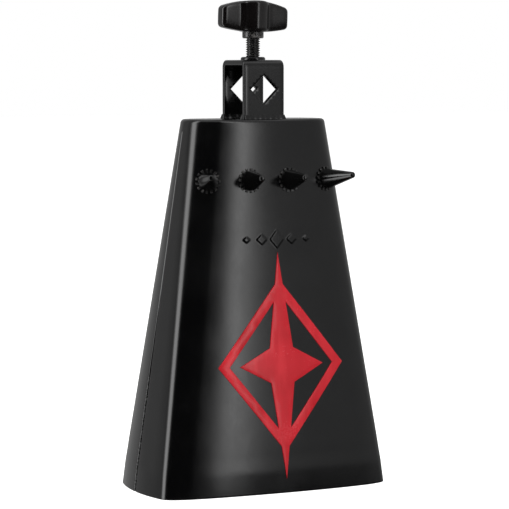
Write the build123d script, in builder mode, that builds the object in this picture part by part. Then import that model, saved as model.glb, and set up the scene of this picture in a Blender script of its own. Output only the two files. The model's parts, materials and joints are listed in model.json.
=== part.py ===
from build123d import *

import os
from math import atan2, copysign, cos, degrees, radians, sin

# A steel cowbell with four cone spikes, a rod bracket on its crown and a wing screw that clamps the rod.
# Millimetres. The origin is the centre of the mouth, +Z runs up to the crown and the front faces -Y.

# ---------- Body ----------
body_height = 203.2
sheet = 1.5
crown_bend = 2.3
seam_gap = 0.5
seam_top = body_height - 6.0
seam_bead_radius, seam_bead_inset, seam_bead_rounding = 1.8, 2.6, 0.9
seam_bead_end = 7.0

# A quarter of either outline is five tangent arcs: middle, rest of the front, shoulder, corner and side.
# The limits are how far each arc's normal has turned from the front where it ends.
# Neighbouring arcs need different radii: equal ones would merge, and the lofts need as many at both ends.
arc_limits = (3.0, 8.0, 22.5, 74.5, 90.0)
mouth_radii = (570.0, 260.0, 44.0, 9.0, 102.8)
crown_radii = (192.0, 181.0, 27.2, 14.3, 21.2)
wall_search_steps = 40

# ---------- Bracket and its welds ----------
strap_width = 24.2
strap_thickness = 3.0
strap_leg_spacing = 26.6
strap_rise = 32.2
strap_bend_inner = 1.0
strap_edge_radius = 0.5
rod_hole_half_diagonal = 7.98
rod_hole_height = 219.4
weld_leg = 2.4
weld_toe, weld_edge = 1.1, 0.2
weld_root = 0.4

# ---------- Clamp screw, M8 x 1.25 ----------
thread_radius = 3.95
thread_root_radius = 3.25
thread_pitch = 1.25
thread_crest_flat = 0.16
thread_root_flat = 0.31
shank_radius = 4.0
running_gap = 0.05
held_gap = 0.02
nut_flange_radius, nut_flange_height, nut_flange_rounding = 6.8, 1.7, 1.2
nut_barrel_radius, nut_barrel_below = 5.5, 1.6
pad_radius, pad_height, pad_lift_gap = 5.0, 4.2, 1.0
spigot_radius, spigot_length = 2.5, 3.0
spigot_end_gap, shoulder_gap = 0.15, 0.1
screw_stand_out = 10.2
ferrule_radius, ferrule_height = 5.9, 3.5
ferrule_neck_radius, ferrule_neck_height = 4.9, 4.0

# ---------- Wing knob ----------
knob_length, knob_height = 40.0, 17.7
hub_radius, wing_thickness, wing_end_radius, wing_root_radius = 8.8, 8.6, 2.4, 4.0
knob_top_drop, knob_bottom_rise = 3.8, 2.3
knob_edge_radius = 1.8
knob_socket_depth = 12.0

# ---------- Spikes ----------
spike_pitch = 23.7
spike_height = 170.0
spike_count = 4
spike_length, spike_radius, spike_tip_radius = 21.1, 5.4, 1.5
spike_foot_height, spike_foot_chamfer, spike_tip_rounding = 1.6, 0.5, 1.2
washer_radius, washer_ring_radius, washer_hole_radius = 6.7, 5.3, 2.3
washer_thickness, washer_seat = 0.8, 0.05
washer_teeth, washer_tooth_width, washer_tooth_length = 15, 1.3, 2.0
screw_radius, screw_reach, screw_socket_radius, screw_socket_depth = 1.98, 7.5, 2.0, 8.5
screw_hole_radius = 2.2
screw_head_radius, screw_head_height, screw_head_rounding, screw_head_gap = 4.0, 2.6, 1.2, 0.45
recess_length, recess_width, recess_depth = 4.2, 0.9, 1.4

# ---------- Decoration on the front face, a little right of the middle ----------
decoration_across = 2.5
emblem_height, emblem_proud = 69.5, 0.5
lozenge_half_width, lozenge_half_height, lozenge_band = 37.5, 47.0, 6.5
star_half_width, star_half_height = 25.0, 61.5
star_waist_x, star_waist_y = 7.0, 9.5
stamp_height, stamp_pitch, stamp_proud = 138.0, 9.0, 0.4
stamp_half_sizes = ((2.6, 2.0), (3.6, 3.2), (4.6, 5.4), (3.6, 3.2), (2.6, 2.0))

# ---------- Heights that follow from the above ----------
strap_top = body_height + strap_rise
web_bottom = strap_top - strap_thickness
nut_top = strap_top + nut_flange_height
nut_bottom = web_bottom - nut_barrel_below
pad_top = nut_bottom - pad_lift_gap
thread_bottom = pad_top + shoulder_gap
ferrule_bottom = nut_top + screw_stand_out
knob_bottom = ferrule_bottom + ferrule_height

os.makedirs("parts", exist_ok=True)


def write(piece, name):
    """Labels a finished piece and writes its file."""
    piece.part.label = name
    export_step(piece.part, f"parts/{name}.step")


def quarter_point(radii, turn):
    """Where an outline's normal has turned that far: across from the middle and in from the front."""
    across = inward = start = 0.0
    for radius, limit in zip(radii, arc_limits):
        end = min(turn, limit)
        across += radius * (sin(radians(end)) - sin(radians(start)))
        inward += radius * (cos(radians(start)) - cos(radians(end)))
        start = end
    return across, inward


mouth_half_width, mouth_half_depth = quarter_point(mouth_radii, arc_limits[-1])
crown_half_width, crown_half_depth = quarter_point(crown_radii, arc_limits[-1])

# The plan angles of the normals at which one arc ends and the next starts, the whole way round.
arc_ends = sorted(
    middle + side * limit for middle in (90, 270) for side in (-1, 1) for limit in arc_limits[:-1]
)


def wall_point(angle, height, inset=0.0):
    """A point of the wall, from the plan angle of its normal, its height and its distance inwards."""
    across, along = cos(radians(angle)), sin(radians(angle))
    turn = degrees(atan2(abs(across), abs(along)))
    low_across, low_inward = quarter_point(mouth_radii, turn)
    high_across, high_inward = quarter_point(crown_radii, turn)
    share = height / body_height
    x = low_across + (high_across - low_across) * share
    low_y, high_y = mouth_half_depth - low_inward, crown_half_depth - high_inward
    y = low_y + (high_y - low_y) * share
    return Vector(copysign(x, across) - inset * across, copysign(y, along) - inset * along, height)


def tapered_body(inset, bottom, top):
    """The solid inside the wall, set in by inset, between two heights."""
    with BuildPart() as body:
        for height in (bottom, top):
            with BuildSketch(Plane.XY.offset(height)):
                with BuildLine():
                    for start, end in zip(arc_ends, arc_ends[1:] + [arc_ends[0] + 360]):
                        angles = (start, (start + end) / 2, end)
                        places = [wall_point(angle, height, inset) for angle in angles]
                        ThreePointArc(*[(place.X, place.Y) for place in places])
                make_face()
        loft(ruled=True)
    return body.part


def wall_plane(x, height):
    """The plane that touches the front wall at x and a height, with its normal pointing outwards."""
    low, high = 180.0, 360.0
    for _ in range(wall_search_steps):
        middle = (low + high) / 2
        if wall_point(middle, height).X < x:
            low = middle
        else:
            high = middle
    tangent = Vector(-sin(radians(low)), cos(radians(low)), 0)
    ruling = wall_point(low, body_height) - wall_point(low, 0)
    return Plane(origin=wall_point(low, height), x_dir=tangent, z_dir=tangent.cross(ruling))


def profile_plane(plane):
    """The plane for a turned profile: its Y runs along the given plane's normal."""
    return Plane(origin=plane.origin, x_dir=plane.x_dir, z_dir=-plane.y_dir)


def turning_axis(plane):
    """The axis that stands on a plane at its origin."""
    return Axis(plane.origin, plane.z_dir)


def lozenge(half_width, half_height):
    """The four corners of a lozenge round the origin."""
    return ((half_width, 0), (0, half_height), (-half_width, 0), (0, -half_height))


def from_middle(number, count, pitch):
    """How far across one of a row of evenly spaced things is from the row's middle."""
    return (number - (count - 1) / 2) * pitch


spike_planes = [
    wall_plane(from_middle(number, spike_count, spike_pitch), spike_height)
    for number in range(spike_count)
]
outer_body = tapered_body(0, 0, body_height)

# ---------- bell_shell: one sheet folded over the crown, its flanges meeting along both sides ----------
with BuildPart() as cavity:
    add(tapered_body(sheet, -sheet, body_height - sheet))
    fillet(cavity.faces().sort_by(Axis.Z)[-1].edges(), crown_bend - sheet)

with BuildPart() as stamp:
    with BuildSketch(Plane.XZ):
        for number, half_sizes in enumerate(stamp_half_sizes):
            across = decoration_across + from_middle(number, len(stamp_half_sizes), stamp_pitch)
            with Locations((across, stamp_height)):
                Polygon(*lozenge(*half_sizes))
    extrude(amount=mouth_half_depth)
    add(tapered_body(-stamp_proud, 0, body_height), mode=Mode.INTERSECT)

with BuildPart() as bell_shell:
    add(outer_body)
    fillet(bell_shell.faces().sort_by(Axis.Z)[-1].edges(), crown_bend)
    add(stamp.part)
    add(cavity.part, mode=Mode.SUBTRACT)
    with BuildSketch(Plane.XY):
        Rectangle(2 * mouth_half_width + sheet, seam_gap)
    extrude(amount=seam_top, mode=Mode.SUBTRACT)
    with Locations(*[plane.location for plane in spike_planes]):
        Hole(screw_hole_radius, depth=2 * sheet)
write(bell_shell, "bell_shell")

# ---------- Seam welds: one bead inside the body along each side ----------
for side, angle in (("left", 180), ("right", 0)):
    foot, head = (wall_point(angle, height, seam_bead_inset) for height in (seam_bead_end, seam_top))
    with BuildPart() as seam_weld:
        with BuildSketch(Plane(origin=foot, x_dir=(0, 1, 0), z_dir=head - foot)):
            Circle(seam_bead_radius)
        extrude(amount=(head - foot).length)
        fillet(seam_weld.edges().filter_by(GeomType.CIRCLE), seam_bead_rounding)
        add(bell_shell.part, mode=Mode.SUBTRACT)
    write(seam_weld, f"{side}_seam_weld")

# ---------- face_emblem: raised red lozenge ring with a four-pointed star ----------
with BuildPart() as face_emblem:
    with BuildSketch(Plane.XZ):
        with Locations((decoration_across, emblem_height)):
            Polygon(*lozenge(lozenge_half_width, lozenge_half_height))
            inner_width = lozenge_half_width - lozenge_band
            inner_height = inner_width * lozenge_half_height / lozenge_half_width
            Polygon(*lozenge(inner_width, inner_height), mode=Mode.SUBTRACT)
            tips = lozenge(star_half_width, star_half_height)
            signs = ((1, 1), (-1, 1), (-1, -1), (1, -1))
            waists = [(x * star_waist_x, y * star_waist_y) for x, y in signs]
            Polygon(*[corner for pair in zip(tips, waists) for corner in pair])
    extrude(amount=mouth_half_depth + emblem_proud)
    add(tapered_body(-emblem_proud, 0, body_height), mode=Mode.INTERSECT)
    add(outer_body, mode=Mode.SUBTRACT)
write(face_emblem, "face_emblem")

# ---------- mount_bracket: an inverted U of strap, a square hole set on its corner in each leg ----------
with BuildPart() as mount_bracket:
    with BuildSketch(Plane.YZ):
        outer_half = (strap_leg_spacing + strap_thickness) / 2
        inner_half = outer_half - strap_thickness
        with BuildLine():
            FilletPolyline(
                (-outer_half, body_height),
                (-outer_half, strap_top),
                (outer_half, strap_top),
                (outer_half, body_height),
                radius=strap_bend_inner + strap_thickness,
            )
            Line((outer_half, body_height), (inner_half, body_height))
            FilletPolyline(
                (inner_half, body_height),
                (inner_half, web_bottom),
                (-inner_half, web_bottom),
                (-inner_half, body_height),
                radius=strap_bend_inner,
            )
            Line((-inner_half, body_height), (-outer_half, body_height))
        make_face()
    extrude(amount=strap_width / 2, both=True)
    sides = mount_bracket.faces().sort_by(Axis.X)
    rims = ShapeList(sides[0].edges() + sides[-1].edges())
    fillet(rims.filter_by(lambda edge: edge.center().Z > body_height + weld_root), strap_edge_radius)
    with BuildSketch(Plane.XZ):
        with Locations((0, rod_hole_height)):
            Polygon(*lozenge(rod_hole_half_diagonal, rod_hole_half_diagonal))
    extrude(amount=strap_leg_spacing, both=True, mode=Mode.SUBTRACT)
    with Locations((0, 0, strap_top)):
        Hole(nut_barrel_radius, depth=2 * strap_thickness)
write(mount_bracket, "mount_bracket")

# ---------- Bracket welds: a fillet round the foot of each leg ----------
for side, y in (("front", -strap_leg_spacing / 2), ("rear", strap_leg_spacing / 2)):
    with BuildPart() as bracket_weld:
        for height, spread in ((body_height - weld_root, weld_toe), (body_height + weld_leg, weld_edge)):
            with BuildSketch(Plane.XY.offset(height)):
                with Locations((0, y)):
                    RectangleRounded(strap_width + 2 * spread, strap_thickness + 2 * spread, spread)
        loft(ruled=True)
        add(bell_shell.part, mode=Mode.SUBTRACT)
        add(mount_bracket.part, mode=Mode.SUBTRACT)
    write(bracket_weld, f"bracket_weld_{side}")

# ---------- clamp_nut: flanged weld nut through the web ----------
with BuildPart() as clamp_nut:
    with BuildSketch(Plane.XY.offset(nut_bottom)):
        Circle(nut_barrel_radius - held_gap)
    extrude(amount=strap_top - nut_bottom)
    with BuildSketch(Plane.XY.offset(strap_top)):
        Circle(nut_flange_radius)
    extrude(amount=nut_flange_height)
    fillet(clamp_nut.edges().group_by(Axis.Z)[-1], nut_flange_rounding)
    with Locations((0, 0, nut_top)):
        Hole(thread_radius + running_gap)
write(clamp_nut, "clamp_nut")

# ---------- clamp_bolt: threaded from the pad to the ferrule, plain inside the knob ----------
with BuildPart() as clamp_bolt:
    with BuildSketch(Plane.XZ):
        with BuildLine():
            flank = (thread_pitch - thread_crest_flat - thread_root_flat) / 2
            turns = int((ferrule_bottom - thread_bottom) / thread_pitch)
            outline = [
                (0, thread_bottom - spigot_length),
                (spigot_radius, thread_bottom - spigot_length),
                (spigot_radius, thread_bottom),
                (thread_root_radius, thread_bottom),
            ]
            for turn in range(turns):
                start = thread_bottom + thread_root_flat + turn * thread_pitch
                outline += [
                    (thread_root_radius, start),
                    (thread_radius, start + flank),
                    (thread_radius, start + flank + thread_crest_flat),
                    (thread_root_radius, start + 2 * flank + thread_crest_flat),
                ]
            shank_top = knob_bottom + knob_socket_depth - held_gap
            outline += [
                (thread_root_radius, ferrule_bottom),
                (shank_radius, ferrule_bottom),
                (shank_radius, shank_top),
                (0, shank_top),
            ]
            Polyline(*outline, close=True)
        make_face()
    revolve(axis=Axis.Z)
write(clamp_bolt, "clamp_bolt")

# ---------- thrust_pad: swivel foot on the bolt's spigot, pressing on the rod ----------
with BuildPart() as thrust_pad:
    with BuildSketch(Plane.XY.offset(pad_top - pad_height)):
        Circle(pad_radius)
    extrude(amount=pad_height)
    fillet(thrust_pad.edges(), strap_edge_radius)
    with Locations((0, 0, pad_top)):
        Hole(spigot_radius + running_gap, depth=spigot_length + spigot_end_gap - shoulder_gap)
write(thrust_pad, "thrust_pad")

# ---------- knob_ferrule: bush moulded into the underside of the knob ----------
with BuildPart() as knob_ferrule:
    with BuildSketch(Plane.XY.offset(ferrule_bottom)):
        Circle(ferrule_radius)
    extrude(amount=ferrule_height)
    chamfer(knob_ferrule.edges().group_by(Axis.Z)[0], strap_edge_radius)
    with BuildSketch(Plane.XY.offset(knob_bottom)):
        Circle(ferrule_neck_radius)
    extrude(amount=ferrule_neck_height)
    with Locations((0, 0, knob_bottom + ferrule_neck_height)):
        Hole(shank_radius + held_gap)
write(knob_ferrule, "knob_ferrule")

# ---------- wing_knob: round hub with two wings, crowned above and below ----------
with BuildPart() as wing_knob:
    with BuildSketch(Plane.XY.offset(knob_bottom)) as plan:
        Rectangle(knob_length, wing_thickness)
        fillet(plan.vertices(), wing_end_radius)
        Circle(hub_radius)
        roots = plan.vertices().filter_by(lambda place: abs(place.X) < hub_radius)
        fillet(roots, wing_root_radius)
    extrude(amount=knob_height)
    with BuildSketch(Plane.XZ):
        knob_top, half_length = knob_bottom + knob_height, knob_length / 2
        end_top, end_bottom = knob_top - knob_top_drop, knob_bottom + knob_bottom_rise
        with BuildLine():
            ThreePointArc((-half_length, end_top), (0, knob_top), (half_length, end_top))
            Line((half_length, end_top), (half_length, end_bottom))
            ThreePointArc((half_length, end_bottom), (0, knob_bottom), (-half_length, end_bottom))
            Line((-half_length, end_bottom), (-half_length, end_top))
        make_face()
    extrude(amount=hub_radius, both=True, mode=Mode.INTERSECT)
    crowned = wing_knob.faces().sort_by(Axis.Z)
    fillet(crowned[0].edges() + crowned[-1].edges(), knob_edge_radius)
    with Locations(Location((0, 0, knob_bottom), (180, 0, 0))):
        Hole(shank_radius + held_gap, depth=knob_socket_depth)
        Hole(ferrule_neck_radius + held_gap, depth=ferrule_neck_height + held_gap)
write(wing_knob, "wing_knob")

# ---------- Spikes: each a cone on a toothed washer, held by a screw from inside ----------
for number, plane in enumerate(spike_planes, start=1):
    seat, foot = plane.offset(washer_seat), plane.offset(washer_seat + washer_thickness)
    head = plane.offset(-sheet - screw_head_gap - screw_head_height)
    with BuildPart() as lock_washer:
        with BuildSketch(seat):
            Circle(washer_ring_radius)
            with PolarLocations(washer_radius - washer_tooth_length / 2, washer_teeth):
                Rectangle(washer_tooth_length, washer_tooth_width)
            Circle(washer_hole_radius, mode=Mode.SUBTRACT)
        extrude(amount=washer_thickness)
    write(lock_washer, f"lock_washer_{number}")

    with BuildPart() as spike:
        with BuildSketch(profile_plane(foot)):
            Polygon(
                (0, 0),
                (spike_radius - spike_foot_chamfer, 0),
                (spike_radius, spike_foot_chamfer),
                (spike_radius, spike_foot_height),
                (spike_tip_radius, spike_length),
                (0, spike_length),
                align=None,
            )
        revolve(axis=turning_axis(foot))
        fillet(spike.edges().sort_by(turning_axis(foot))[-1], spike_tip_rounding)
        with Locations(foot.location):
            Hole(screw_socket_radius, depth=screw_socket_depth)
    write(spike, f"spike_{number}")

    with BuildPart() as spike_screw:
        with BuildSketch(head):
            Circle(screw_head_radius)
        extrude(amount=screw_head_height)
        fillet(spike_screw.edges().sort_by(turning_axis(head))[0], screw_head_rounding)
        with BuildSketch(head):
            Rectangle(recess_length, recess_width)
            Rectangle(recess_width, recess_length)
        extrude(amount=recess_depth, mode=Mode.SUBTRACT)
        with BuildSketch(head.offset(screw_head_height)):
            Circle(screw_radius)
        extrude(amount=sheet + screw_head_gap + washer_seat + washer_thickness + screw_reach)
    write(spike_screw, f"spike_screw_{number}")
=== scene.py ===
import json
from math import asin, atan, atan2, ceil, copysign, cos, degrees, exp, hypot, pi, radians, sin, sqrt, tan

import bmesh
import bpy
from mathutils import Matrix, Vector, noise
from mathutils.geometry import delaunay_2d_cdt


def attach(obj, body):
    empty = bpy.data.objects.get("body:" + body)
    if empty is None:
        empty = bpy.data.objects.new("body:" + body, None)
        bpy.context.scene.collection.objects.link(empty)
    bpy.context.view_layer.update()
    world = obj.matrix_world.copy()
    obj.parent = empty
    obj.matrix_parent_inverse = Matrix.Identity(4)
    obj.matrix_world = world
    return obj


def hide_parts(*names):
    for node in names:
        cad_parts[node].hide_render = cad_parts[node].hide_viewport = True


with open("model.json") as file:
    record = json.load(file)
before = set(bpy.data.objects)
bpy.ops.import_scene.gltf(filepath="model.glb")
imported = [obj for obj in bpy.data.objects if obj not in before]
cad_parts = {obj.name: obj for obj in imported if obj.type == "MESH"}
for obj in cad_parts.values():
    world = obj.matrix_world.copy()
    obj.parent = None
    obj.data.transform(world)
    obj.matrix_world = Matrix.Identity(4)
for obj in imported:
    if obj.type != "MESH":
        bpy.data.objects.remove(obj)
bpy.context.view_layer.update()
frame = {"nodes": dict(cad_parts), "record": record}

# Lengths are in millimetres, as in the CAD, until a mesh is made: Blender gets metres.
MM = 0.001
cad = frame["nodes"]
scene = bpy.context.scene

# ---------- Camera ----------
CAMERA_PLACE = (-531.47, -1149.53, 231.23)
CAMERA_TARGET = (0.0, 0.0, 116.84)
CAMERA_ROLL = radians(-0.04)
camera_data = bpy.data.cameras.new("camera")
camera_data.sensor_width, camera_data.lens = 36.0, 161.70
camera_data.shift_x, camera_data.shift_y = 0.00275, 0.0385
camera_data.clip_start, camera_data.clip_end = 0.05, 20
camera = bpy.data.objects.new("camera", camera_data)
scene.collection.objects.link(camera)
aim = (Vector(CAMERA_TARGET) - Vector(CAMERA_PLACE)).to_track_quat("-Z", "Y").to_matrix().to_4x4()
camera.matrix_world = Matrix.Translation(Vector(CAMERA_PLACE) * MM) @ aim @ Matrix.Rotation(CAMERA_ROLL, 4, "Z")
scene.camera = camera
scene.view_settings.view_transform = "Standard"


# ---------- Node helpers ----------
class Nodes:
    """A short way to write node trees: add(kind, {input: value or socket}, setting=value)."""

    def __init__(self, tree):
        self.tree = tree

    def add(self, kind, inputs=(), **settings):
        made = self.tree.nodes.new("ShaderNode" + kind)
        for name, value in settings.items():
            setattr(made, name, value)
        for key, value in dict(inputs).items():
            if isinstance(value, bpy.types.NodeSocket):
                self.tree.links.new(value, made.inputs[key])
            else:
                made.inputs[key].default_value = value
        return made

    def math(self, operation, *values):
        return self.add("Math", dict(enumerate(values)), operation=operation).outputs[0]

    def smooth(self, value, low, high, out_low=0.0, out_high=1.0):
        """Value's place between low and high, smoothed, on a scale from out_low to out_high."""
        inputs = {"Value": value, "From Min": low, "From Max": high, "To Min": out_low, "To Max": out_high}
        return self.add("MapRange", inputs, interpolation_type="SMOOTHSTEP").outputs[0]

    def ramp(self, value, stops):
        """Grey levels at places from 0 to 1, joined by straight lines."""
        made = self.add("ValToRGB", {0: value})
        elements = made.color_ramp.elements
        while len(elements) < len(stops):
            elements.new(0.5)
        for element, (place, level) in zip(elements, stops):
            element.position = place
            element.color = (level, level, level, 1)
        return made.outputs[0]

    def mix(self, share, a, b):
        """From colour a to colour b by a share."""
        made = self.add("Mix", data_type="RGBA")
        for socket, value in ((made.inputs[0], share), (made.inputs[6], a), (made.inputs[7], b)):
            if isinstance(value, bpy.types.NodeSocket):
                self.tree.links.new(value, socket)
            else:
                socket.default_value = value if isinstance(value, float) else (*value, 1)
        return made.outputs[2]


# ---------- Studio ----------
# Light from each compass direction, in degrees from the front (-Y) round through the left (-X): a soft box
# ahead and to the right, a dark gap, another soft box on the left, and a plain grey room behind.
RING = (
    (-180, 0.36), (-100, 0.40), (-40, 0.46), (-27, 0.50), (-22.5, 0.8), (-20, 1.9), (-18, 3.8), (-15.5, 3.8),
    (-13.5, 1.8), (-11.5, 0.40), (-8.5, 0.05), (0, 0.015), (74, 0.015), (81, 0.5), (88, 4.6), (102, 4.6),
    (110, 1.0), (118, 0.34), (135, 0.47), (146, 0.36), (153, 0.30), (161, 0.37), (180, 0.36),
)
# The same for directions below the horizon, where the second soft box is dimmer.
LOW_RING = (
    (-180, 0.4), (-110, 0.3), (-60, 0.10), (-24, 0.05), (60, 0.03), (81, 0.3), (90, 3.4), (103, 3.4),
    (111, 0.9), (122, 0.36), (180, 0.4),
)
# Elevations between which the low ring gives way to the ring, and the ring to the ceiling.
HORIZON, CEILING = (-4.0, -1.0), (48, 65)
# The ramps hold shares of the peak.
RING_PEAK, CEILING_LEVEL = 5.0, 0.9
world = bpy.data.worlds.new("studio")
scene.world = world
world.use_nodes = True
world.node_tree.nodes.clear()
n = Nodes(world.node_tree)
direction = n.add("SeparateXYZ", {0: n.add("TexCoord").outputs["Generated"]})
left, ahead = n.math("MULTIPLY", direction.outputs["X"], -1.0), n.math("MULTIPLY", direction.outputs["Y"], -1.0)
turn = n.math("DIVIDE", n.math("ARCTAN2", left, ahead), 2 * pi)
place = n.math("ADD", turn, 0.5)
ring, low_ring = (n.ramp(place, [((angle + 180) / 360, level / RING_PEAK) for angle, level in stops])
                  for stops in (RING, LOW_RING))
height = direction.outputs["Z"]
above, ceiling = (n.smooth(height, *(sin(radians(angle)) for angle in angles)) for angles in (HORIZON, CEILING))
ring_level = n.mix(above, low_ring, ring)
sky = n.mix(ceiling, ring_level, (CEILING_LEVEL / RING_PEAK,) * 3)
glow = n.add("Background", {"Color": sky, "Strength": RING_PEAK})
white = n.add("Background", {"Color": (1, 1, 1, 1)})
seen = n.add("LightPath").outputs["Is Camera Ray"]
chosen = n.add("MixShader", {0: seen, 1: glow.outputs[0], 2: white.outputs[0]})
n.add("OutputWorld", {0: chosen.outputs[0]})


def lamp(name, place, target, size, watts):
    """A soft lamp for matt surfaces: it lights them and casts soft shadows, but isn't seen in gloss."""
    data = bpy.data.lights.new(name, "AREA")
    data.shape, data.size, data.size_y, data.energy = "RECTANGLE", size, size, watts
    made = bpy.data.objects.new(name, data)
    aim = (Vector(target) - Vector(place)).to_track_quat("-Z", "Y").to_matrix().to_4x4()
    made.matrix_world = Matrix.Translation(place) @ aim
    made.visible_glossy = False
    scene.collection.objects.link(made)


lamp("overhead", (0.2, -0.1, 1.7), (0, 0, 0), 1.8, 46)
lamp("fill", (-0.5, -1.6, 1.1), (0, 0, 0.1), 1.2, 22)

floor_mesh = bpy.data.meshes.new("floor")
floor_mesh.from_pydata([(-9, -9, 0), (9, -9, 0), (9, 9, 0), (-9, 9, 0)], [], [(0, 1, 2, 3)])
floor = bpy.data.objects.new("floor", floor_mesh)
floor.visible_glossy = False
scene.collection.objects.link(floor)
floor_paint = bpy.data.materials.new("floor_paint")
floor_paint.use_nodes = True
floor_shader = floor_paint.node_tree.nodes["Principled BSDF"]
floor_shader.inputs["Base Color"].default_value = (0.42, 0.42, 0.42, 1)
floor_shader.inputs["Emission Color"].default_value = (1, 1, 1, 1)
floor_shader.inputs["Emission Strength"].default_value = 0.80
floor_shader.inputs["Roughness"].default_value = 0.9
floor_mesh.materials.append(floor_paint)


# ---------- Materials ----------
DUST, DUST_SIZE = (0.30, 0.29, 0.28), 0.55


def finish_of(name, dark, light, roughness, specks, peel, waves, wear, worn_and_highlit=(0.12, 0.12, 0.12), streaks=0.0,
              specular=0.5):
    """A procedural finish: dark and light colours, a roughness range, dust, edges lightened partly as wear and
    partly as a painted highlight, and maybe streaks.

    Peel and waves are the fine and broad unevenness of the surface, each a size and a depth.
    """
    material = bpy.data.materials.new(name)
    material.use_nodes = True
    shader = material.node_tree.nodes["Principled BSDF"]
    n = Nodes(material.node_tree)
    where = n.add("TexCoord").outputs["Object"]

    def cloud(size, detail=2.0, stretch=None, distortion=0.0):
        place = where
        if stretch:
            place = n.add("Mapping", {0: where, "Scale": stretch}).outputs[0]
        inputs = {"Vector": place, "Scale": 1 / (size * MM), "Detail": detail, "Distortion": distortion}
        return n.add("TexNoise", inputs).outputs["Fac"]

    broad, fine = cloud(22.0, 3.0), cloud(1.3, 4.0)
    colour = n.mix(n.smooth(broad, 0.35, 0.65), dark, light)
    if streaks:
        brush = n.smooth(cloud(7.0, 5.0, (1.0, 1.0, 0.09), 0.4), 0.42, 0.66)
        paler = tuple(min(1.0, 1.6 * c + 0.02) for c in light)
        colour = n.mix(n.math("MULTIPLY", brush, streaks), colour, paler)
    dust = n.smooth(cloud(DUST_SIZE, 1.0), 0.70, 0.76)
    colour = n.mix(n.math("MULTIPLY", dust, specks), colour, DUST)
    # Convex edges are lightened towards a paler colour: partly real wear, partly a painted highlight where
    # light catches the edges.
    edge = n.smooth(n.add("NewGeometry").outputs["Pointiness"], 0.53, 0.60)
    rubbed_and_highlit = n.math("MULTIPLY", edge, n.smooth(fine, 0.42, 0.62))
    colour = n.mix(n.math("MULTIPLY", rubbed_and_highlit, wear), colour, worn_and_highlit)
    clouds = n.math("ADD", n.math("MULTIPLY", broad, 0.6), n.math("MULTIPLY", fine, 0.4))
    rough = n.smooth(clouds, 0.35, 0.65, *roughness)
    material.node_tree.links.new(colour, shader.inputs["Base Color"])
    material.node_tree.links.new(rough, shader.inputs["Roughness"])
    shader.inputs["Specular IOR Level"].default_value = specular
    bumps = None
    for size, depth in (waves, peel):
        inputs = {"Height": cloud(size), "Distance": depth * MM, "Strength": 1.0}
        if bumps:
            inputs["Normal"] = bumps
        bumps = n.add("Bump", inputs).outputs[0]
    material.node_tree.links.new(bumps, shader.inputs["Normal"])
    return material


# The paint's wear value lightens its edges: partly wear, partly a painted highlight along the seam's edges.
paint = finish_of("black_powder_coat", (0.0008, 0.0008, 0.0009), (0.0016, 0.0016, 0.0017), (0.12, 0.17),
                  specks=0.02, peel=(0.7, 0.003), waves=(14.0, 0.02), wear=0.3)
red = finish_of("red_enamel", (0.25, 0.003, 0.007), (0.31, 0.005, 0.011), (0.18, 0.28),
                specks=0.05, peel=(0.8, 0.004), waves=(6.0, 0.02), wear=0.2, worn_and_highlit=(0.35, 0.05, 0.05),
                streaks=0.22, specular=0.35)
oxide = finish_of("black_oxide_steel", (0.003, 0.003, 0.003), (0.006, 0.006, 0.006), (0.22, 0.36),
                  specks=0.03, peel=(0.35, 0.003), waves=(3.0, 0.005), wear=0.4, worn_and_highlit=(0.20, 0.19, 0.18),
                  specular=0.6)
gloss = finish_of("black_gloss_metal", (0.001, 0.001, 0.001), (0.002, 0.002, 0.002), (0.10, 0.16),
                  specks=0.02, peel=(0.5, 0.001), waves=(4.0, 0.004), wear=0.25)
plastic = finish_of("black_gloss_plastic", (0.0015, 0.0012, 0.0012), (0.0025, 0.002, 0.002), (0.12, 0.19),
                    specks=0.03, peel=(0.6, 0.004), waves=(5.0, 0.02), wear=0.2, worn_and_highlit=(0.05, 0.05, 0.05))
FINISHES = {"black_powder_coat": paint, "red_enamel": red, "black_oxide_steel": oxide,
            "black_gloss_metal": gloss, "black_gloss_plastic": plastic}
SLOT_OF = {part["node"]: part["material_slot"] for part in frame["record"]["subparts"]}
for name, thing in cad.items():
    for material_slot in thing.material_slots:
        material_slot.material = FINISHES[SLOT_OF[name]]


# ---------- Mesh helpers ----------
def piece(name, shells, body, stands_for, sharp=35.0):
    """Makes one piece from shells, each a list of points in mm and a list of faces."""
    points, faces = [], []
    for shell_points, shell_faces in shells:
        start = len(points)
        points += [Vector(p) * MM for p in shell_points]
        faces += [[start + i for i in face] for face in shell_faces]
    mesh = bpy.data.meshes.new(name)
    mesh.from_pydata(points, [], faces)
    work = bmesh.new()
    work.from_mesh(mesh)
    bmesh.ops.remove_doubles(work, verts=work.verts, dist=1e-6)
    bmesh.ops.dissolve_degenerate(work, edges=work.edges, dist=1e-7)
    bmesh.ops.recalc_face_normals(work, faces=work.faces)
    work.to_mesh(mesh)
    work.free()
    mesh.polygons.foreach_set("use_smooth", [True] * len(mesh.polygons))
    mesh.set_sharp_from_angle(angle=radians(sharp))
    made = bpy.data.objects.new(name, mesh)
    scene.collection.objects.link(made)
    slot = SLOT_OF[stands_for[0]]
    mesh.materials.append(FINISHES[slot])
    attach(made, body)
    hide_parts(*stands_for)


def tube(rings, capped=True):
    """A shell through rings of equally many points, its ends closed by fans where it is capped."""
    count = len(rings[0])
    points = [p for ring in rings for p in ring]
    faces = []
    for r in range(len(rings) - 1):
        for i in range(count):
            j = (i + 1) % count
            faces.append((r * count + i, r * count + j, (r + 1) * count + j, (r + 1) * count + i))
    for start in (0, (len(rings) - 1) * count) if capped else ():
        ring = [Vector(p) for p in points[start:start + count]]
        points.append(sum(ring, Vector()) / count)
        faces += [(start + i, start + (i + 1) % count, len(points) - 1) for i in range(count)]
    return points, faces


def turned(profile, basis, segments):
    """A shell turned about the basis' Z axis from a profile of (radius, height)."""
    turns = whole_turn(segments)
    return tube([[basis @ Vector((radius * cos(turn), radius * sin(turn), height)) for turn in turns]
                 for radius, height in profile])


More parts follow.
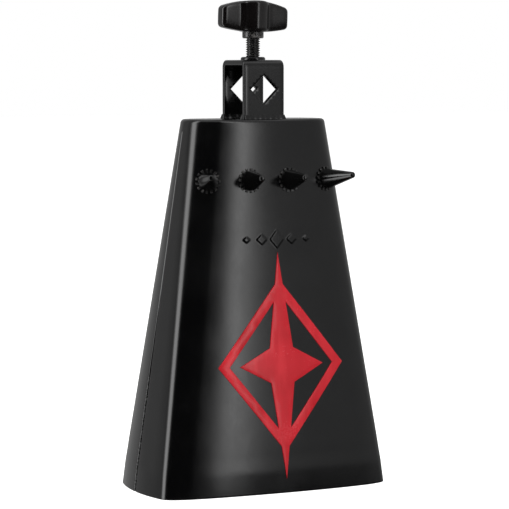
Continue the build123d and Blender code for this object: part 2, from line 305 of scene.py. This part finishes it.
def arc(centre, radius, start, end, count):
    """Points of an arc, angles in degrees."""
    turns = [radians(lerp(start, end, i / count)) for i in range(count + 1)]
    return [(centre[0] + radius * cos(turn), centre[1] + radius * sin(turn)) for turn in turns]


def whole_turn(count):
    """Evenly spaced angles once round, in radians."""
    return [2 * pi * i / count for i in range(count)]


def lerp(a, b, share):
    """From a to b by a share."""
    return a + (b - a) * share


def eased(share):
    """A smooth step from 0 to 1."""
    share = max(0.0, min(1.0, share))
    return share * share * (3 - 2 * share)


def steps(start, end, step):
    """Even steps from start to end, no longer than step."""
    count = max(1, ceil(abs(end - start) / step - 1e-9))
    return [start + (end - start) * i / count for i in range(count + 1)]


def divided(corners, step):
    """A closed outline with its long edges cut into short ones."""
    outline = []
    for start, end in zip(corners, corners[1:] + corners[:1]):
        count = ceil(hypot(end[0] - start[0], end[1] - start[1]) / step)
        shares = [i / count for i in range(count)]
        outline += [Vector((lerp(start[0], end[0], share), lerp(start[1], end[1], share))) for share in shares]
    return outline


def drawn_in(outline, distance):
    """An outline moved to its left by a distance, with mitred corners."""
    moved = []
    for before, place, after in zip(outline[-1:] + outline[:-1], outline, outline[1:] + outline[:1]):
        (ax, ay), (bx, by) = (place - before).normalized(), (after - place).normalized()
        first, second = Vector((-ay, ax)), Vector((-by, bx))
        moved.append(place + (first + second) * (distance / (1 + first.dot(second))))
    return moved


def inside(place, outlines):
    """Whether a ray from a place crosses the outlines an odd number of times."""
    crossings = 0
    for outline in outlines:
        for (ax, ay), (bx, by) in zip(outline, outline[1:] + outline[:1]):
            if (ay > place.y) != (by > place.y) and place.x < ax + (bx - ax) * (place.y - ay) / (by - ay):
                crossings += 1
    return crossings % 2 == 1


def filled(outlines, onto, proud, spacing):
    """A face between flat outlines, in small triangles, put onto a surface by onto(place, proud)."""
    border, edges = [], []
    for outline in outlines:
        start = len(border)
        border += outline
        edges += [(start + i, start + (i + 1) % len(outline)) for i in range(len(outline))]
    (low_x, high_x), (low_y, high_y) = ((min(part), max(part)) for part in zip(*outlines[0]))
    grid = [Vector((x, y)) for x in steps(low_x, high_x, spacing[0]) for y in steps(low_y, high_y, spacing[1])]
    grid = [place for place in grid if min((place - other).length for other in border) > 0.45 * min(spacing)]
    places, _, triangles = delaunay_2d_cdt(border + grid, edges, [], 1, 1e-6)[:3]
    faces = [face for face in triangles if inside(sum((places[i] for i in face), Vector((0, 0))) / 3, outlines)]
    return [onto(place, proud) for place in places], faces


def edged(outlines, onto, edges, spacing):
    """Shells of a flat plan with shaped edges: one edge profile, of (inwards, proud), for each outline."""
    shells = []
    for end in (0, -1):
        drawn = [drawn_in(outline, edge[end][0]) for outline, edge in zip(outlines, edges)]
        shells.append(filled(drawn, onto, edges[0][end][1], spacing))
    for outline, edge in zip(outlines, edges):
        rings = [[onto(place, proud) for place in drawn_in(outline, inwards)] for inwards, proud in edge]
        shells.append(tube(rings, capped=False))
    return shells


# ---------- The body's wall, as in the CAD ----------
HEIGHT, SHEET, CROWN_BEND = 203.2, 1.5, 2.3
ARC_LIMITS = (3.0, 8.0, 22.5, 74.5, 90.0)
MOUTH_RADII = (570.0, 260.0, 44.0, 9.0, 102.8)
CROWN_RADII = (192.0, 181.0, 27.2, 14.3, 21.2)
SEAM_TOP = HEIGHT - 6.0


def quarter_point(radii, turn):
    """Where an outline's normal has turned that far: across from the middle and in from the front."""
    across = inward = start = 0.0
    for radius, limit in zip(radii, ARC_LIMITS):
        end = min(turn, limit)
        across += radius * (sin(radians(end)) - sin(radians(start)))
        inward += radius * (cos(radians(start)) - cos(radians(end)))
        start = end
    return across, inward


MOUTH_HALF = quarter_point(MOUTH_RADII, 90)
CROWN_HALF = quarter_point(CROWN_RADII, 90)


class Column:
    """One straight line of the wall, from mouth to crown, on the front half. Turn runs from -90 to 90."""

    def __init__(self, turn):
        self.turn = turn
        self.side = -1 if turn < 0 else 1
        low, high = quarter_point(MOUTH_RADII, abs(turn)), quarter_point(CROWN_RADII, abs(turn))
        self.low = Vector((self.side * low[0], low[1] - MOUTH_HALF[1]))
        self.high = Vector((self.side * high[0], high[1] - CROWN_HALF[1]))
        self.normal = Vector((sin(radians(turn)), -cos(radians(turn))))
        self.lean = atan((self.low - self.high).dot(self.normal) / HEIGHT)

    def at(self, height, inset):
        """The line's place at a height, moved into the sheet by inset."""
        flat = self.low.lerp(self.high, height / HEIGHT) - self.normal * inset
        return flat.x, flat.y


def turn_at(x, height):
    """How far the front face's normal has turned at x and a height."""
    across = start = 0.0
    for low, high, limit in zip(MOUTH_RADII, CROWN_RADII, ARC_LIMITS):
        radius = lerp(low, high, height / HEIGHT)
        reached = sin(radians(start)) + (abs(x) - across) / radius
        if reached <= sin(radians(limit)):
            break
        across += radius * (sin(radians(limit)) - sin(radians(start)))
        start = limit
    return copysign(degrees(asin(reached)), x)


def wall_basis(x, height, proud=0.0):
    """Axes that stand on the front face at x and a height, moved out by proud: Z points straight out of it."""
    column = Column(turn_at(x, height))
    flat = cos(column.lean)
    out = Vector((column.normal.x * flat, column.normal.y * flat, sin(column.lean)))
    along = Vector((-column.normal.y, column.normal.x, 0))
    place = Vector((*column.at(height, 0), height)) + out * proud
    return Matrix.Translation(place) @ Matrix((along, out.cross(along), out)).transposed().to_4x4()


# How far the stamp and the emblem are to the right of the middle.
DECORATION_ACROSS = 2.5
STAMP_HEIGHT, STAMP_PITCH, STAMP_PROUD, STAMP_SLOPE = 138.0, 9.0, 0.38, 0.7
# Half widths and half heights of the stamped lozenges.
STAMP_SIZES = ((2.6, 2.0), (3.6, 3.2), (4.6, 5.4), (3.6, 3.2), (2.6, 2.0))
# The heights and the turns between which the wall's mesh is fine enough for them.
STAMP_ROWS, STAMP_TURNS = (130.6, 145.4), (-3.9, 5.4)


def stamp(x, height):
    """How far the stamped lozenges raise the front face."""
    for number, (half_width, half_height) in enumerate(STAMP_SIZES):
        across = DECORATION_ACROSS + (number - 2) * STAMP_PITCH
        within = 1 - abs(x - across) / half_width - abs(height - STAMP_HEIGHT) / half_height
        if within > 0:
            from_edge = within * half_width * half_height / hypot(half_width, half_height)
            return STAMP_PROUD * eased(from_edge / STAMP_SLOPE)
    return 0.0


def dents(x, y, z):
    """Slight unevenness of the folded sheet, always inwards."""
    broad, fine = noise.noise(Vector((x, y, z)) / 38.0), noise.noise(Vector((x + 90, y, z)) / 13.0)
    fade = min(1.0, z / 12.0, max(0.0, (HEIGHT - 3 - z) / 8.0))
    return abs(0.05 * broad + 0.012 * fine) * fade


RIM_BEND_HEIGHT, RIM_BEND, RIM_EASE = 14.0, radians(2.3), 6.0


def rim_bend(height):
    """How far in the last strip above the mouth is turned, with the slightest flare just above it."""
    below = RIM_BEND_HEIGHT + RIM_EASE / 2 - height
    bend = 0.0
    if below > 0:
        bend = tan(RIM_BEND) * (below * below / (2 * RIM_EASE) if below < RIM_EASE else below - RIM_EASE / 2)
    return bend + 0.06 * exp(-(((height - RIM_BEND_HEIGHT - 5) / 4.5) ** 2))


SEAM_SMOOTH_ABOVE, SEAM_ROUGH_BELOW = 120, 60
# Half the seam's width and how much it varies, high up and towards the mouth.
SEAM_HALF_WIDTHS, SEAM_RAGGED = (0.10, 0.65), (0.06, 0.36)
# The rounding of the sheet's edges at the seam, high up and towards the mouth.
SEAM_ROUNDINGS = (0.35, 0.95)
BEVEL_WIDTH, BEVEL_DEPTH = 0.75, 0.42


def seam_wear(height):
    """How rough the seam is: 0 high up, 1 towards the mouth."""
    return max(0.0, min(1.0, (SEAM_SMOOTH_ABOVE - height) / (SEAM_SMOOTH_ABOVE - SEAM_ROUGH_BELOW)))


def slit(height, side, rear):
    """Half the seam's width: fine at the top, wider and ragged towards the mouth."""
    wear = seam_wear(height)
    place = Vector((height, 30 * side + 10 * rear, 0))
    ragged = 0.55 * noise.noise(place / 1.7) + 0.6 * noise.noise(place / 5.0)
    width = lerp(*SEAM_HALF_WIDTHS, wear) + ragged * lerp(*SEAM_RAGGED, wear)
    return max(0.03, width) * max(0.0, min(1.0, (SEAM_TOP - height) / 2.0))


def edge_shape(edge, height, rear):
    """A point round the sheet's edge: how far from the seam and how far in.

    High up, the rear half's edge is bevelled instead of rounded.
    """
    wear = seam_wear(height)
    radius, share = lerp(*SEAM_ROUNDINGS, wear), (90 - edge) / 90
    along, drop = radius * (1 - sin(radians(edge))), radius * (1 - cos(radians(max(0.0, edge))))
    if rear:
        along = lerp(BEVEL_WIDTH * share, along, wear)
        drop = lerp(BEVEL_DEPTH * max(0.0, 1 - share), drop, wear)
    return along, drop


RIM_ROUNDING = 0.3
BEND_STEPS, CROWN_STEPS = 8, 10
# The columns next to the seam stand at these angles round the sheet's rounded edge, from the edge to the flat.
EDGE_ANGLES = (90.0, 72.0, 54.0, 36.0, 18.0, 0.0, -30.0)
face_end, shoulder_end, corner_end = ARC_LIMITS[1:4]
half_turns = steps(0, face_end, 0.5) + steps(face_end, shoulder_end, 1.45)
half_turns += steps(shoulder_end, corner_end, 2.0) + steps(corner_end, 86, 2.0)
turns = sorted({round(side * turn, 4) for turn in half_turns for side in (-1, 1)}
               | {round(turn, 4) for turn in steps(*STAMP_TURNS, 0.06)})
columns = [(Column(-90), edge) for edge in EDGE_ANGLES] + [(Column(turn), None) for turn in turns]
columns += [(Column(90), edge) for edge in reversed(EDGE_ANGLES)]
wall_heights = [0.0, 0.05, 0.15, RIM_ROUNDING, 1.0] + steps(2, 24, 1) + steps(26, 128, 1.7)
wall_heights += steps(*STAMP_ROWS, 0.4) + steps(147, 196, 2) + [SEAM_TOP - 0.4, SEAM_TOP, HEIGHT - 5.2]


def half_grid(inner, rear):
    """Points of one half's outer or inner surface, row by row, up to the flat of the crown."""
    thickness = SHEET if inner else 0.0
    bend, bend_height = CROWN_BEND - thickness, HEIGHT - CROWN_BEND
    rows = [(height, height, None) for height in wall_heights]
    rows += [(None, bend_height, i / BEND_STEPS) for i in range(BEND_STEPS + 1)]
    grid = []
    for height, base, share in rows:
        line = []
        for column, edge in columns:
            inset, z = thickness, height
            if share is not None:
                angle = lerp(column.lean, pi / 2, share)
                inset, z = thickness + bend / cos(column.lean) - bend * cos(angle), base + bend * sin(angle)
            elif height < RIM_ROUNDING:
                rounding = RIM_ROUNDING - sqrt(RIM_ROUNDING**2 - (RIM_ROUNDING - height) ** 2)
                inset += -rounding if inner else rounding
            if edge is None:
                stamped = not rear and STAMP_ROWS[0] < base < STAMP_ROWS[1]
                raised = stamp(column.at(base, 0)[0], base) if stamped else 0.0
                x, y = column.at(base, inset + rim_bend(base) - raised)
                if share is None:
                    sunk = dents(x, -y if rear else y, z)
                    x, y = x - column.normal.x * sunk, y - column.normal.y * sunk
            else:
                x, _ = column.at(base, inset + rim_bend(base))
                along, drop = edge_shape(edge, base, rear)
                y = -(slit(base, column.side, rear) + along)
                if base < SEAM_TOP:
                    x += column.side * (0.15 * drop if inner else -drop)
            line.append(Vector((x, -y if rear else y, z)))
        grid.append(line)
    return grid


def bell_mesh():
    """The folded sheet: outside, inside, rim, seam edges and crown."""
    points, faces, index = [], [], {}

    def put(point):
        key = tuple(round(part, 4) for part in point)
        if key not in index:
            index[key] = len(points)
            points.append(point)
        return index[key]

    def skin(lines):
        for low, high in zip(lines, lines[1:]):
            for c in range(len(columns) - 1):
                corners = dict.fromkeys((low[c], low[c + 1], high[c + 1], high[c]))
                if len(corners) > 2:
                    faces.append(tuple(corners))

    last_lines = {}
    for rear in (False, True):
        outer, inner = half_grid(False, rear), half_grid(True, rear)
        last_lines[rear] = outer[-1], inner[-1]
        outer, inner = ([[put(point) for point in line] for line in grid] for grid in (outer, inner))
        skin(outer)
        skin(inner)
        skin([outer[0], inner[0]])
        for c in (0, len(columns) - 1):
            for r in range(wall_heights.index(SEAM_TOP)):
                faces.append((outer[r][c], outer[r + 1][c], inner[r + 1][c], inner[r][c]))
    for front, back in zip(last_lines[False], last_lines[True]):
        skin([[put(a.lerp(b, i / CROWN_STEPS)) for a, b in zip(front, back)] for i in range(CROWN_STEPS + 1)])
    return points, faces


piece("bell_body", [bell_mesh()], "bell", ["bell_shell"], sharp=50)


# ---------- Seam beads and bracket welds: lumpy, as laid by hand ----------
BEAD_RADIUS, BEAD_INSET, BEAD_END = 1.8, 2.6, 7.0
for side, name in ((-1, "left_seam_weld"), (1, "right_seam_weld")):
    rings = []
    for height in steps(BEAD_END, SEAM_TOP, 0.8):
        x, _ = Column(90 * side).at(height, BEAD_INSET)
        from_end = min(height - BEAD_END, SEAM_TOP - height)
        swell = 0.86 + 0.09 * cos(2 * pi * height / 3.1) + 0.05 * noise.noise(Vector((side * 9, 0, height / 4)))
        radius = BEAD_RADIUS * swell * sqrt(min(1.0, 0.12 + from_end / 1.6))
        rings.append([(x + radius * cos(turn), radius * sin(turn), height) for turn in whole_turn(20)])
    piece(name + "_bead", [tube(rings)], "bell", [name], sharp=60)

STRAP_WIDTH, STRAP_THICKNESS, LEG_SPACING = 24.2, 3.0, 26.6
# Across a bracket weld: out from the leg and up from the crown.
WELD_PROFILE = ((-0.5, -0.35), (1.1, -0.35), (1.1, 0.05), (0.92, 0.62), (0.66, 1.22), (0.42, 1.80), (0.2, 2.34),
                (-0.5, 2.4))
WELD_STEP = 0.6
# A bracket weld's way round its leg: the nearest point of the leg and the direction away from it.
half_x, half_y = STRAP_WIDTH / 2, STRAP_THICKNESS / 2
leg_corners = ((-half_x, -half_y), (half_x, -half_y), (half_x, half_y), (-half_x, half_y))
way = []
for start, end, facing in zip(leg_corners, leg_corners[1:] + leg_corners[:1], (-90, 0, 90, 180)):
    shares = steps(0, 1, WELD_STEP / hypot(end[0] - start[0], end[1] - start[1]))
    way += [((lerp(start[0], end[0], share), lerp(start[1], end[1], share)), facing) for share in shares]
    way += [(end, facing + turn) for turn in steps(15, 75, 15)]
for side, name in ((-1, "bracket_weld_front"), (1, "bracket_weld_rear")):
    rings = []
    for number, ((x, y), turn) in enumerate(way):
        lump = 0.90 + 0.03 * sin(2 * pi * number / 5.3)
        lump += 0.07 * noise.noise(Vector((x / 3.5, y + 7 * side, turn / 40)))
        middle_y = y + side * LEG_SPACING / 2
        ring = []
        for spread, rise in WELD_PROFILE:
            away = spread * lump if spread > 0 else spread
            up = rise * lerp(1.0, lump, 0.5) if rise > 0 else rise
            ring.append((x + away * cos(radians(turn)), middle_y + away * sin(radians(turn)), HEIGHT + up))
        rings.append(ring)
    piece(name + "_fillet", [tube(rings + rings[:1], capped=False)], "bell", [name], sharp=60)


# ---------- Mount bracket: a flat plan of strap bent to a U ----------
STRAP_TOP, STRAP_BEND, FOOT_DEPTH = HEIGHT + 32.2, 4.0, 0.3
BEND_MIDDLE = STRAP_BEND - STRAP_THICKNESS / 2
WEB_FLAT = (LEG_SPACING + STRAP_THICKNESS) / 2 - STRAP_BEND
BEND_END = WEB_FLAT + BEND_MIDDLE * pi / 2
LEG_END = BEND_END + STRAP_TOP - STRAP_BEND - HEIGHT + FOOT_DEPTH
ROD_HOLE_HEIGHT, ROD_HOLE, NUT_HOLE = 219.4, 7.98, 5.5
# Across the edges: inwards from the outline, and out from the strap's outer face.
STRAP_EDGE = arc((0.9, -0.9), 0.9, 90, 180, 6) + arc((0.9, 0.9 - STRAP_THICKNESS), 0.9, 180, 270, 6)
HOLE_EDGE = arc((0.35, -0.35), 0.35, 90, 180, 4) + arc((0.2, 0.2 - STRAP_THICKNESS), 0.2, 180, 270, 3)


def on_strap(place, proud):
    """A point of the flat plan on the bent strap: y is how far along it is from the middle of the web."""
    along, side = abs(place.y), copysign(1, place.y)
    if along < WEB_FLAT:
        return Vector((place.x, place.y, STRAP_TOP + proud))
    if along < BEND_END:
        angle, radius = (along - WEB_FLAT) / BEND_MIDDLE, STRAP_BEND + proud
        across, up = radius * sin(angle), radius * cos(angle)
        return Vector((place.x, side * (WEB_FLAT + across), STRAP_TOP - STRAP_BEND + up))
    height = STRAP_TOP - STRAP_BEND - (along - BEND_END)
    return Vector((place.x, side * (WEB_FLAT + STRAP_BEND + proud), height))


strap = divided([(STRAP_WIDTH / 2, -LEG_END), (STRAP_WIDTH / 2, LEG_END), (-STRAP_WIDTH / 2, LEG_END),
                 (-STRAP_WIDTH / 2, -LEG_END)], 0.7)
hole_place = BEND_END + STRAP_TOP - STRAP_BEND - ROD_HOLE_HEIGHT
rod_holes = [divided([(0.0, y + ROD_HOLE), (ROD_HOLE, y), (0.0, y - ROD_HOLE), (-ROD_HOLE, y)], 1.0)
             for y in (-hole_place, hole_place)]
nut_hole = [Vector((NUT_HOLE * sin(turn), NUT_HOLE * cos(turn))) for turn in whole_turn(48)]
shells = edged((strap, *rod_holes, nut_hole), on_strap, (STRAP_EDGE,) + (HOLE_EDGE,) * 3, (2.2, 0.8))
piece("bent_bracket", shells, "bell", ["mount_bracket"], sharp=40)


# ---------- Red emblem: a lozenge ring with a four-pointed star ----------
EMBLEM_HEIGHT = 69.5
RING_OUTER, RING_BAND = (37.5, 47.0), 6.5
RING_INNER = (RING_OUTER[0] - RING_BAND, (RING_OUTER[0] - RING_BAND) * RING_OUTER[1] / RING_OUTER[0])
STAR_TIPS, STAR_WAIST = (25.0, 61.5), (7.0, 9.5)
# Across the emblem's edge: inwards from its outline, and out from the wall.
EMBLEM_EDGE = ((0.0, -0.12), (0.0, 0.28), (0.05, 0.40), (0.13, 0.47), (0.26, 0.50))


def crossing(half_width, half_height):
    """Where the upper right edge of the star's tall point crosses a lozenge's edge."""
    slope = STAR_WAIST[0] / (STAR_TIPS[1] - STAR_WAIST[1])
    y = (1 - slope * STAR_TIPS[1] / half_width) / (1 / half_height - slope / half_width)
    return slope * (STAR_TIPS[1] - y), y


def on_face(place, proud):
    """A point of the emblem's plan put on the front face."""
    return wall_basis(place.x + DECORATION_ACROSS, place.y + EMBLEM_HEIGHT, proud).translation


outer_cross, inner_cross = crossing(*RING_OUTER), crossing(*RING_INNER)
upper = [(RING_OUTER[0], 0.0), outer_cross, (0.0, STAR_TIPS[1]), (-outer_cross[0], outer_cross[1]),
         (-RING_OUTER[0], 0.0)]
border = divided(upper + [(x, -y) for x, y in reversed(upper[1:-1])], 2.0)
window = [inner_cross, (RING_INNER[0], 0.0), (inner_cross[0], -inner_cross[1]), (STAR_WAIST[0], -STAR_WAIST[1]),
          (STAR_TIPS[0], 0.0), STAR_WAIST]
right_window = divided(window, 2.0)
left_window = divided([(-x, y) for x, y in reversed(window)], 2.0)
shells = edged((border, right_window, left_window), on_face, (EMBLEM_EDGE,) * 3, (3.0, 3.0))
piece("red_emblem", shells, "bell", ["face_emblem"], sharp=40)


# ---------- Clamp screw: threaded bolt and wing knob ----------
THREAD_PITCH, THREAD_BOTTOM, THREAD_TOP = 1.25, 229.9, 248.0
# Over one pitch: height and radius at each end of the root and the crest.
THREAD_ROWS = ((0.0, 3.25), (0.31, 3.25), (0.70, 3.95), (0.86, 3.95))
THREAD_SEGMENTS = 48
# Radius, bottom and top.
SPIGOT, SHANK, SHANK_CHAMFER = (2.5, 226.9, 229.95), (4.0, 247.3, 262.78), 0.3


def thread_mesh():
    """A true helical thread: going once round, a row meets the row one pitch higher."""
    per_pitch, turns = len(THREAD_ROWS), int((THREAD_TOP - THREAD_BOTTOM) / THREAD_PITCH)
    rows = [(z + n * THREAD_PITCH, radius) for n in range(turns) for z, radius in THREAD_ROWS]
    points = []
    for z, radius in rows:
        for i, turn in enumerate(whole_turn(THREAD_SEGMENTS)):
            height = THREAD_BOTTOM + z + THREAD_PITCH * i / THREAD_SEGMENTS
            points.append((radius * cos(turn), radius * sin(turn), height))

    def at(row, i):
        return (row + per_pitch * (i // THREAD_SEGMENTS)) * THREAD_SEGMENTS + i % THREAD_SEGMENTS

    faces = []
    for row in range(len(rows) - 1):
        for i in range(THREAD_SEGMENTS):
            if i < THREAD_SEGMENTS - 1 or row + 1 + per_pitch < len(rows):
                faces.append((at(row, i), at(row, i + 1), at(row + 1, i + 1), at(row + 1, i)))
    last = len(rows) - 1
    bottom = [at(0, i) for i in range(THREAD_SEGMENTS)] + [at(row, 0) for row in range(per_pitch, 0, -1)]
    top = [at(last, i) for i in range(THREAD_SEGMENTS)]
    top += [at(row, THREAD_SEGMENTS - 1) for row in range(last - 1, last - per_pitch - 1, -1)]
    for loop in (bottom, top):
        height = sum(points[i][2] for i in loop) / len(loop)
        points.append((0, 0, height))
        faces += [(a, b, len(points) - 1) for a, b in zip(loop, loop[1:] + loop[:1])]
    return points, faces


shells = [thread_mesh()]
for radius, low, high in (SPIGOT, SHANK):
    profile = [(radius - SHANK_CHAMFER, low), (radius, low + SHANK_CHAMFER)]
    profile += [(radius, high - SHANK_CHAMFER), (radius - SHANK_CHAMFER, high)]
    shells.append(turned(profile, Matrix.Identity(4), 48))
piece("threaded_bolt", shells, "clamp_screw", ["clamp_bolt"], sharp=25)

KNOB_BOTTOM, KNOB_HEIGHT, KNOB_HALF = 250.74, 17.2, 20.0
HUB_RADIUS, WING_HALF, WING_END, WING_ROOT = 8.8, 4.3, 2.4, 4.0
WING_WAIST, KNOB_DROP, KNOB_RISE, KNOB_EDGE = 0.25, 3.8, 2.3, 1.8
KNOB_TILT = radians(1.8)


def knob_quarter(half_thickness, inset):
    """A quarter of the knob's plan, from the end of a wing round to the hub."""
    hub, half, end, root = HUB_RADIUS - inset, KNOB_HALF - inset, max(0.7, WING_END - inset), WING_ROOT + inset
    thick = half_thickness - inset
    centre = (sqrt((hub + root) ** 2 - (thick + root) ** 2), thick + root)
    meet = degrees(atan2(centre[1], centre[0]))
    quarter = [(half, (thick - end) * i / 2) for i in range(2)] + arc((half - end, thick - end), end, 0, 90, 8)
    quarter += [(lerp(half - end, centre[0], i / 8), thick) for i in range(1, 8)]
    quarter += arc(centre, root, 270, 180 + meet, 8) + arc((0, 0), hub, meet, 90, 14)[1:]
    return quarter


def knob_mesh():
    """Loops of the knob's plan stacked from its underside to its top, thickest half way up."""
    turns = steps(0, pi / 2, pi / 16)
    rounding = [(KNOB_EDGE * (1 - sin(turn)), KNOB_EDGE * (1 - cos(turn))) for turn in turns]
    # For each loop: how far it is drawn in, its share of the way up, and how far it is off that height.
    levels = [(inset, 0.0, rise) for inset, rise in rounding]
    levels += [(0.0, share, KNOB_EDGE * (1 - 2 * share)) for share in steps(0, 1, 0.08)[1:-1]]
    levels += [(inset, 1.0, -rise) for inset, rise in reversed(rounding)]
    tilt = Matrix.Translation((0, 0, KNOB_BOTTOM + KNOB_HEIGHT / 2)) @ Matrix.Rotation(KNOB_TILT, 4, "Y")
    tilt = tilt @ Matrix.Translation((0, 0, -KNOB_HEIGHT / 2))
    loops = []
    for inset, share, off in levels:
        middle_share = share + off / KNOB_HEIGHT
        quarter = knob_quarter(WING_HALF - WING_WAIST * (2 * middle_share - 1) ** 2, inset)
        plan = quarter + [(-x, y) for x, y in reversed(quarter[:-1])]
        plan += [(x, -y) for x, y in reversed(plan[1:-1])]
        loop = []
        for x, y in plan:
            low = KNOB_RISE * (x / KNOB_HALF) ** 2
            high = KNOB_HEIGHT - KNOB_DROP * (x / KNOB_HALF) ** 2
            loop.append(tilt @ Vector((x, y, lerp(low, high, share) + off)))
        loops.append(loop)
    points, faces = tube(loops, capped=False)
    count = len(loops[0])
    for start in (0, (len(loops) - 1) * count):
        for i in range(count // 2):
            across = (i, i + 1, (count - i - 1) % count, (count - i) % count)
            faces.append(tuple(dict.fromkeys(start + j for j in across)))
    return points, faces


piece("moulded_knob", [knob_mesh()], "clamp_screw", ["wing_knob"], sharp=50)


# ---------- Spikes on toothed lock washers ----------
SPIKE_HEIGHT, SPIKE_PITCH = 170.0, 23.7
SPIKE_LENGTH, SPIKE_RADIUS, SPIKE_TIP, SPIKE_FOOT, TIP_ROUNDING = 21.05, 5.4, 1.5, 1.6, 1.2
SOCKET_RADIUS, SOCKET_DEPTH = 2.0, 8.5
SPIKE_LEANS = (0.0, -4.0, -4.0, 0.0)
WASHER_HOLE, WASHER_RING, WASHER_RADIUS, WASHER_SEAT, WASHER_TOP = 2.3, 5.3, 6.7, 0.05, 0.85
TEETH, TOOTH_WIDTH, WASHER_THICKNESS = 15, 1.3, 0.5


def washer_rings(basis, start):
    """Cross-sections round an external-tooth lock washer, its teeth twisted out of its plane."""
    rings = []
    half = degrees(TOOTH_WIDTH / 2 / (WASHER_RADIUS - 0.7))
    middle, reach = (WASHER_SEAT + WASHER_TOP) / 2, (WASHER_TOP - WASHER_SEAT - WASHER_THICKNESS) / 2
    for tooth in range(TEETH):
        centre = start + 360 * tooth / TEETH
        for turn, on_tooth in ((-half - 1.2, 0), (-half, 0), (-half + 0.4, 1), (-half / 2, 1), (0, 1),
                               (half / 2, 1), (half - 0.4, 1), (half, 0), (half + 1.2, 0)):
            radius = WASHER_RADIUS if on_tooth else WASHER_RING
            lift = reach * turn / half if on_tooth else 0.0
            low, high = middle - WASHER_THICKNESS / 2, middle + WASHER_THICKNESS / 2
            section = ((WASHER_HOLE, low + 0.06), (WASHER_HOLE + 0.06, low), (WASHER_RING - 0.3, low),
                       (radius - 0.08, low + lift), (radius, low + lift + 0.08), (radius, high + lift - 0.08),
                       (radius - 0.08, high + lift), (WASHER_RING - 0.3, high), (WASHER_HOLE + 0.06, high),
                       (WASHER_HOLE, high - 0.06))
            angle = radians(centre + turn)
            rings.append([basis @ Vector((r * cos(angle), r * sin(angle), z)) for r, z in section])
    return rings


taper = atan((SPIKE_RADIUS - SPIKE_TIP) / (SPIKE_LENGTH - SPIKE_FOOT))
tip_centre_height = SPIKE_LENGTH - TIP_ROUNDING
tip_centre_radius = SPIKE_TIP + TIP_ROUNDING * (tan(taper) - 1 / cos(taper))
# The socket, the chamfered foot, the cone and the rounded tip.
spike_profile = [(SOCKET_RADIUS, SOCKET_DEPTH), (SOCKET_RADIUS, 0.2), (SOCKET_RADIUS + 0.2, 0.0)]
spike_profile += [(SPIKE_RADIUS - 0.6, 0.0), (SPIKE_RADIUS - 0.45, 0.05), (SPIKE_RADIUS - 0.05, 0.42)]
spike_profile += [(SPIKE_RADIUS, 0.58), (SPIKE_RADIUS, SPIKE_FOOT - 0.25), (SPIKE_RADIUS - 0.03, SPIKE_FOOT)]
spike_profile += [(lerp(SPIKE_RADIUS - 0.03, SPIKE_TIP, share), lerp(SPIKE_FOOT, SPIKE_LENGTH, share))
                  for share in steps(0.04, 0.92, 0.08)]
spike_profile += arc((tip_centre_radius, tip_centre_height), TIP_ROUNDING, degrees(taper), 90, 8)
for number, lean in enumerate(SPIKE_LEANS):
    x = (number - 1.5) * SPIKE_PITCH
    foot = wall_basis(x, SPIKE_HEIGHT, WASHER_TOP) @ Matrix.Rotation(radians(lean), 4, "Y")
    piece(f"turned_spike_{number + 1}", [turned(spike_profile, foot, 64)], "bell", [f"spike_{number + 1}"])
    rings = washer_rings(wall_basis(x, SPIKE_HEIGHT), 9.0 * number)
    ring = tube(rings + rings[:1], capped=False)
    piece(f"star_washer_{number + 1}", [ring], "bell", [f"lock_washer_{number + 1}"], sharp=30)
